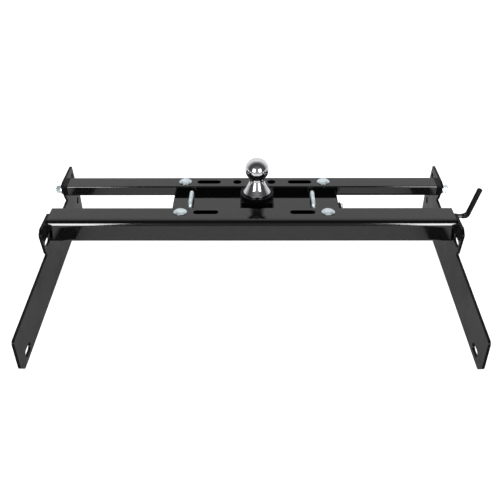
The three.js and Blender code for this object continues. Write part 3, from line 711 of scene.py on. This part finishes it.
def make_end_fasteners():
    """Stud, washer and nut at each end of both rails."""
    ring = [(END_WASHER_BORE, -END_WASHER_HALF), (END_WASHER_RADIUS, -END_WASHER_HALF),
            (END_WASHER_RADIUS, END_WASHER_HALF), (END_WASHER_BORE, END_WASHER_HALF)]
    for row in ROWS:
        for side in SIDES:
            corner = f"{row}_{side}"
            outward = ALONG_X if side == "right" else ALONG_MINUS_X
            sign = 1 if side == "right" else -1
            nut_node = f"end_nut_{corner}"
            washer_node = f"end_washer_{corner}"
            centre = middle(nut_node)
            make_end_stud(corner, centre, sign, outward)
            flat = turned("washer", ring, 48, loop=True)
            place = at(middle(washer_node).x, centre.y, centre.z) @ outward
            piece(washer_node + "_smooth", flat, ZINC, "hitch_frame", place,
                  replaces=[washer_node])
            nut = hex_ring(nut_node + "_smooth", END_NUT_FLATS, END_NUT_BORE, END_NUT_HEIGHT)
            base = at(centre.x - sign * END_NUT_HEIGHT / 2, centre.y, centre.z)
            place = base @ outward @ Matrix.Rotation(END_NUT_TURN, 4, "Z")
            piece(nut.name, nut, ZINC, "hitch_frame", place, replaces=[nut_node])


# ---------------------------------------------------------------- safety-chain U-bolts
def make_loops():
    for side in SIDES:
        body = f"{side}_loop"
        node = f"ubolt_{side}"
        low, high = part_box(node)
        centre = (low + high) / 2
        leg = (high.y - low.y) / 2 - LOOP_ROD
        thread_top = low.z + LOOP_THREAD_LENGTH
        foot = thread_top - 0.001
        crown = high.z - LOOP_ROD
        corners = [(0, -leg, foot), (0, -leg, crown), (0, leg, crown), (0, leg, foot)]
        line = rounded_line(corners, LOOP_BEND, 10)
        bar = tube("bar", spaced(line, 0.006), LOOP_ROD, 28)
        parts = [(bar, Matrix.Identity(4))]
        for y in (-leg, leg):
            thread = threaded("leg_thread", LOOP_ROD, LOOP_THREAD_LENGTH, LOOP_PITCH)
            parts.append((thread, at(0, y, thread_top) @ UPSIDE_DOWN))
        mesh = joined(node + "_smooth", parts)
        piece(mesh.name, mesh, LOOP_ZINC, body, at(centre.x, 0, 0), replaces=[node])
        for row in ROWS:
            make_leg_fasteners(body, f"{side}_{row}")


def make_leg_fasteners(body, end):
    """Washer, lock nut and spring on one leg of a U-bolt; the spring spans two bodies and is left on none.
    """
    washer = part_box(f"ubolt_washer_{end}")
    centre = (washer[0] + washer[1]) / 2
    ring = [(LOOP_WASHER_BORE, 0), (LOOP_WASHER_RADIUS, 0),
            (LOOP_WASHER_RADIUS, LOOP_WASHER_THICKNESS), (LOOP_WASHER_BORE, LOOP_WASHER_THICKNESS)]
    mesh = turned(f"ubolt_washer_{end}_smooth", ring, 48, loop=True)
    place = at(centre.x, centre.y, washer[0].z)
    piece(mesh.name, mesh, ZINC, body, place, replaces=[f"ubolt_washer_{end}"])
    nut_low, nut_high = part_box(f"ubolt_nut_{end}")
    height = nut_high.z - nut_low.z
    mesh = hex_ring(f"ubolt_nut_{end}_smooth", LOCK_NUT_FLATS, LOCK_NUT_BORE, height)
    place = at(centre.x, centre.y, nut_low.z)
    piece(mesh.name, mesh, ZINC, body, place, replaces=[f"ubolt_nut_{end}"])
    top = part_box("head_base_plate")[0].z
    length = top - washer[1].z - 2 * SPRING_WIRE
    line = helix_line(LOOP_SPRING_RADIUS, length, LOOP_SPRING_TURNS)
    mesh = tube(f"ubolt_spring_{end}_coil", line, SPRING_WIRE, 10)
    place = at(centre.x, centre.y, washer[1].z + SPRING_WIRE)
    spring = piece(mesh.name, mesh, SPRING, "hitch_frame", place,
                   replaces=[f"ubolt_spring_{end}"])
    spring.parent = None
    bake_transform(spring)


# ---------------------------------------------------------------- latch and handle
def pin_profile(radius, length):
    """Half outline of the latch pin: a tapered nose, and a blind bore that takes the handle rod."""
    bore_end = length - PIN_BORE_DEPTH
    tip = radius - PIN_NOSE_TAPER
    return [(0, 0), (tip - BORE_EDGE, 0), (tip, BORE_EDGE), (radius, PIN_NOSE_LENGTH),
            (radius, length - PIN_EDGE), (radius - PIN_EDGE, length), (PIN_BORE + BORE_EDGE, length),
            (PIN_BORE, length - BORE_EDGE), (PIN_BORE, bore_end), (0, bore_end)]


def make_latch():
    low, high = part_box("latch_pin")
    axis = middle("latch_pin")
    radius = (high.z - low.z) / 2
    mesh = turned("latch_pin_smooth", pin_profile(radius, high.x - low.x), 48)
    place = at(low.x, axis.y, axis.z) @ ALONG_X
    piece(mesh.name, mesh, OXIDE, "latch_slider", place, replaces=["latch_pin"])
    collar_low, collar_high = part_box("latch_collar")
    hole = radius + CLEARANCE
    rim = COLLAR_RADIUS - 0.0005
    ring = [(hole, 0), (rim, 0), (COLLAR_RADIUS, 0.0006), (COLLAR_RADIUS, COLLAR_WIDTH - 0.0006),
            (rim, COLLAR_WIDTH), (hole, COLLAR_WIDTH)]
    mesh = turned("latch_collar_smooth", ring, 56, loop=True)
    place = at(collar_low.x, axis.y, axis.z) @ ALONG_X
    piece(mesh.name, mesh, ZINC, "latch_slider", place, replaces=["latch_collar"])
    make_latch_spring(axis, collar_high)
    head = hex_ring("handle_guide_bolt_smooth", GUIDE_BOLT_FLATS, 0.0004, GUIDE_BOLT_HEIGHT)
    spot = middle("handle_guide_bolt")
    place = at(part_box("handle_guide_bolt")[0].x, spot.y, spot.z) @ ALONG_X
    piece(head.name, head, ZINC, "hitch_frame", place, replaces=["handle_guide_bolt"])


def make_latch_spring(axis, collar_high):
    """The spring between the collar and the bracket, which spans two bodies and is left on none."""
    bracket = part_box("latch_bracket")[0].x
    length = bracket - collar_high.x - 2 * SPRING_WIRE - 0.0004
    line = helix_line(LATCH_SPRING_RADIUS, length, LATCH_SPRING_TURNS)
    mesh = tube("latch_spring_coil", line, SPRING_WIRE, 10)
    place = at(collar_high.x + SPRING_WIRE + 0.0002, axis.y, axis.z) @ ALONG_X
    spring = piece(mesh.name, mesh, SPRING, "hitch_frame", place, replaces=["latch_spring"])
    spring.parent = None
    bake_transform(spring)


def handle_line(start_x, axis_z, stop_short):
    """Centre line of the handle rod from start_x to its bent-up end."""
    rise = math.tan(HANDLE_BEND_ANGLE / 2) * HANDLE_BEND_RADIUS
    corner = Vector((HANDLE_BEND_X + rise, 0, axis_z))
    along = Vector((math.cos(HANDLE_BEND_ANGLE), 0, math.sin(HANDLE_BEND_ANGLE)))
    end = corner + along * (rise + HANDLE_END_LENGTH - stop_short)
    return rounded_line([Vector((start_x, 0, axis_z)), corner, end], HANDLE_BEND_RADIUS, 12)


def make_handle():
    axis_z = middle("latch_pin").z
    rod_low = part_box("handle_rod")[0]
    line = spaced(handle_line(rod_low.x + CLEARANCE, axis_z, 0.003), 0.008)
    mesh = tube("handle_rod_smooth", line, HANDLE_ROD, 32)
    piece(mesh.name, mesh, OXIDE, "latch_handle", replaces=["handle_rod"])
    grip_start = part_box("handle_grip")[0].x + 0.0004
    line = spaced(handle_line(grip_start, axis_z, 0.0), 0.0012)
    length = sum((b - a).length for a, b in zip(line, line[1:]))
    shape = round_ended(length, HANDLE_ROD + GRIP_WALL, GRIP_NOSE)

    def ribbed(t):
        along = t * length
        rib = RIB_DEPTH * (0.5 - 0.5 * math.cos(2 * math.pi * along / RIB_PITCH))
        inner = GRIP_PLAIN_END < along < length - GRIP_PLAIN_END
        return max(shape(t) - (rib if inner else 0), HANDLE_ROD * 0.4)

    mesh = tube("handle_grip_smooth", line, ribbed, 36)
    piece(mesh.name, mesh, VINYL, "latch_handle", sharp=60, replaces=["handle_grip"])


# ---------------------------------------------------------------- weld beads
def bead_radius(size, length):
    """Radius along a weld bead: overlapping ripples, tapering at its two ends."""
    def at_share(t):
        ripple = abs(math.sin(t * length / RIPPLE_PITCH * math.pi))
        ends = min(1, min(t, 1 - t) * length / 0.003 + 0.3)
        return size * (0.86 + 0.14 * ripple) * ends
    return at_share


def bead(name, points, size):
    line = spaced([Vector(p) for p in points], 0.0009)
    length = sum((b - a).length for a, b in zip(line, line[1:]))
    mesh = tube(name, line, bead_radius(size, length), 10)
    return piece(name, mesh, PLATE_PAINT, "hitch_frame", sharp=50)


def make_welds():
    half = SOCKET_HALF
    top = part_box("head_top_plate")[1].z
    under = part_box("head_base_plate")[0].z
    for label, z in (("top", top), ("under", under)):
        for i, (x0, y0, x1, y1) in enumerate((
            (-half, -half, half, -half), (half, -half, half, half),
            (half, half, -half, half), (-half, half, -half, -half),
        )):
            start = Vector((x0, y0, z))
            end = Vector((x1, y1, z))
            inset = (end - start).normalized() * BEAD_INSET
            bead(f"socket_weld_{label}_{i}", [start + inset, end - inset], SOCKET_BEAD)
    for row in ROWS:
        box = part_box(f"head_gusset_{row}")
        wall = half if row == "rear" else -half
        far = box[1].y if row == "rear" else box[0].y
        for side, x in zip(SIDES, (box[0].x, box[1].x)):
            corner = (x, wall, box[1].z)
            upright = [(x, wall, box[0].z + 0.002), corner]
            bead(f"gusset_weld_{row}_{side}_upright", upright, SMALL_BEAD)
            bead(f"gusset_weld_{row}_{side}_level", [corner, (x, far, box[1].z)], SMALL_BEAD)
    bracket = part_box("latch_bracket")
    for i, x in enumerate((bracket[0].x, bracket[1].x)):
        points = [(x, bracket[0].y + 0.002, bracket[1].z), (x, bracket[1].y - 0.002, bracket[1].z)]
        bead(f"bracket_weld_{i}", points, SMALL_BEAD)


# ---------------------------------------------------------------- floor, light and camera
def make_floor():
    """A large pale floor under the plates' bottom edges, which slope down towards the front."""
    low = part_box("side_plate_left")[0]
    tip = Vector((0, PLATE_TIP_Y, low.z - 2 * CLEARANCE))
    mesh = bpy.data.meshes.new("floor")
    corners = [(-FLOOR_SIZE, -FLOOR_FRONT, 0), (FLOOR_SIZE, -FLOOR_FRONT, 0),
               (FLOOR_SIZE, FLOOR_SIZE, 0), (-FLOOR_SIZE, FLOOR_SIZE, 0)]
    mesh.from_pydata(corners, [], [(0, 1, 2, 3)])
    mesh.transform(Matrix.Translation(tip) @ Matrix.Rotation(FLOOR_SLOPE, 4, "X"))
    material, tree, shader, place = new_material("floor_paper")
    tree.links.new(spread(tree, noise(tree, place, 30, 4), 0.75, 0.9), shader.inputs["Roughness"])
    tone = two_tone(tree, noise(tree, place, 3, 2), FLOOR_PALE, FLOOR_GREY)
    tree.links.new(tone, shader.inputs["Base Color"])
    shader.inputs["Specular IOR Level"].default_value = 0.1
    shader.inputs["Emission Color"].default_value = WHITE
    seen = tree.nodes.new("ShaderNodeLightPath").outputs["Is Camera Ray"]
    glow = spread(tree, seen, FLOOR_GLOW, FLOOR_GLOW + FLOOR_GLOW_SEEN, 0, 1)
    tree.links.new(glow, shader.inputs["Emission Strength"])
    mesh.materials.append(material)
    floor = bpy.data.objects.new("floor", mesh)
    bpy.context.scene.collection.objects.link(floor)


def make_world():
    """A bright wall behind the object that fades overhead into a dim room."""
    world = bpy.data.worlds.new("studio")
    bpy.context.scene.world = world
    world.use_nodes = True
    tree = world.node_tree
    background = tree.nodes["Background"]
    place = tree.nodes.new("ShaderNodeTexCoord").outputs["Generated"]
    split = tree.nodes.new("ShaderNodeSeparateXYZ")
    ramp = tree.nodes.new("ShaderNodeValToRGB")
    stops = [(0.0, 0.3), (0.16, 0.12), (0.3, ROOM_LIGHT), (0.46, ROOM_LIGHT), (0.62, 0.3),
             (0.8, BACK_WALL_LIGHT), (1.0, BACK_WALL_LIGHT)]
    ramp.color_ramp.elements[0].position = stops[0][0]
    ramp.color_ramp.elements[1].position = stops[-1][0]
    for position, _ in stops[1:-1]:
        ramp.color_ramp.elements.new(position)
    for element, (_, level) in zip(ramp.color_ramp.elements, stops):
        element.color = (level, level, level * 1.01, 1)
    shift = tree.nodes.new("ShaderNodeMapRange")
    shift.inputs["From Min"].default_value = -1
    tree.links.new(place, split.inputs[0])
    tree.links.new(split.outputs["Y"], shift.inputs["Value"])
    tree.links.new(shift.outputs["Result"], ramp.inputs["Fac"])
    tree.links.new(ramp.outputs["Color"], background.inputs["Color"])
    plain = tree.nodes.new("ShaderNodeBackground")
    plain.inputs["Color"].default_value = WHITE
    choose = tree.nodes.new("ShaderNodeMixShader")
    seen = tree.nodes.new("ShaderNodeLightPath").outputs["Is Camera Ray"]
    tree.links.new(seen, choose.inputs["Fac"])
    tree.links.new(background.outputs[0], choose.inputs[1])
    tree.links.new(plain.outputs[0], choose.inputs[2])
    tree.links.new(choose.outputs[0], tree.nodes["World Output"].inputs["Surface"])


def receivers(name, materials):
    """A collection of the meshes with these materials, for lights that only they receive."""
    group = bpy.data.collections.new(name)
    for obj in bpy.data.objects:
        if obj.type == "MESH" and obj.active_material in materials:
            group.objects.link(obj)
    return group


def make_softbox(name, turn, power, group):
    """One tall panel in front, turned from the middle by an angle in degrees."""
    light = bpy.data.lights.new(name, "AREA")
    light.shape = "RECTANGLE"
    light.size = SOFTBOX_WIDTH
    light.size_y = SOFTBOX_HEIGHT
    light.energy = power
    lamp = bpy.data.objects.new(name, light)
    lamp.visible_diffuse = False
    azimuth = math.radians(turn)
    flat = math.cos(SOFTBOX_ELEVATION)
    away = Vector((math.sin(azimuth) * flat, -math.cos(azimuth) * flat, math.sin(SOFTBOX_ELEVATION)))
    lamp.location = away * SOFTBOX_DISTANCE
    lamp.rotation_mode = "QUATERNION"
    lamp.rotation_quaternion = away.to_track_quat("Z", "Y")
    lamp.light_linking.receiver_collection = group
    bpy.context.scene.collection.objects.link(lamp)


def make_softboxes():
    """A left and a right panel, weaker for the chrome so that its two glints stay small."""
    polished = receivers("polished", [CHROME])
    others = receivers("unpolished", [RAIL_PAINT, PLATE_PAINT, ZINC, LOOP_ZINC, OXIDE, SPRING, VINYL])
    for side, turn in zip(SIDES, (-SOFTBOX_TURN, SOFTBOX_TURN)):
        make_softbox(f"softbox_{side}", turn, SOFTBOX_POWER, others)
        make_softbox(f"softbox_{side}_polished", turn, POLISHED_POWER, polished)


def make_zinc_card():
    """A dim panel straight above, which only the zinc-plated pieces reflect."""
    light = bpy.data.lights.new("zinc_card", "AREA")
    light.size = ZINC_CARD_SIZE
    light.energy = ZINC_CARD_POWER
    lamp = bpy.data.objects.new("zinc_card", light)
    lamp.location = (0, 0, ZINC_CARD_HEIGHT)
    lamp.light_linking.receiver_collection = receivers("zinc_plated", [ZINC, LOOP_ZINC])
    bpy.context.scene.collection.objects.link(lamp)


def make_overhead():
    """A wide soft light above, which brightens the floor and leaves faint shadows on it."""
    light = bpy.data.lights.new("overhead", "AREA")
    light.size = OVERHEAD_SIZE
    light.energy = OVERHEAD_POWER
    lamp = bpy.data.objects.new("overhead", light)
    lamp.visible_glossy = False
    lamp.location = OVERHEAD_PLACE
    bpy.context.scene.collection.objects.link(lamp)


def make_camera():
    data = bpy.data.cameras.new("camera")
    data.lens = LENS
    data.sensor_width = 36
    camera = bpy.data.objects.new("camera", data)
    turn = Matrix.Rotation(CAMERA_TURN, 4, "Z")
    tilt = Matrix.Rotation(math.pi / 2 - CAMERA_DOWN, 4, "X")
    roll = Matrix.Rotation(CAMERA_ROLL, 4, "Z")
    camera.matrix_world = Matrix.Translation(CAMERA_PLACE) @ turn @ tilt @ roll
    bpy.context.scene.collection.objects.link(camera)
    bpy.context.scene.camera = camera


# ---------------------------------------------------------------- the scene
paint_steel()
make_ball()
make_carriage_bolts()
make_end_fasteners()
make_loops()
make_latch()
make_handle()
make_welds()
make_floor()
make_world()
make_softboxes()
make_zinc_card()
make_overhead()
make_camera()
bpy.context.scene.view_settings.view_transform = "Standard"
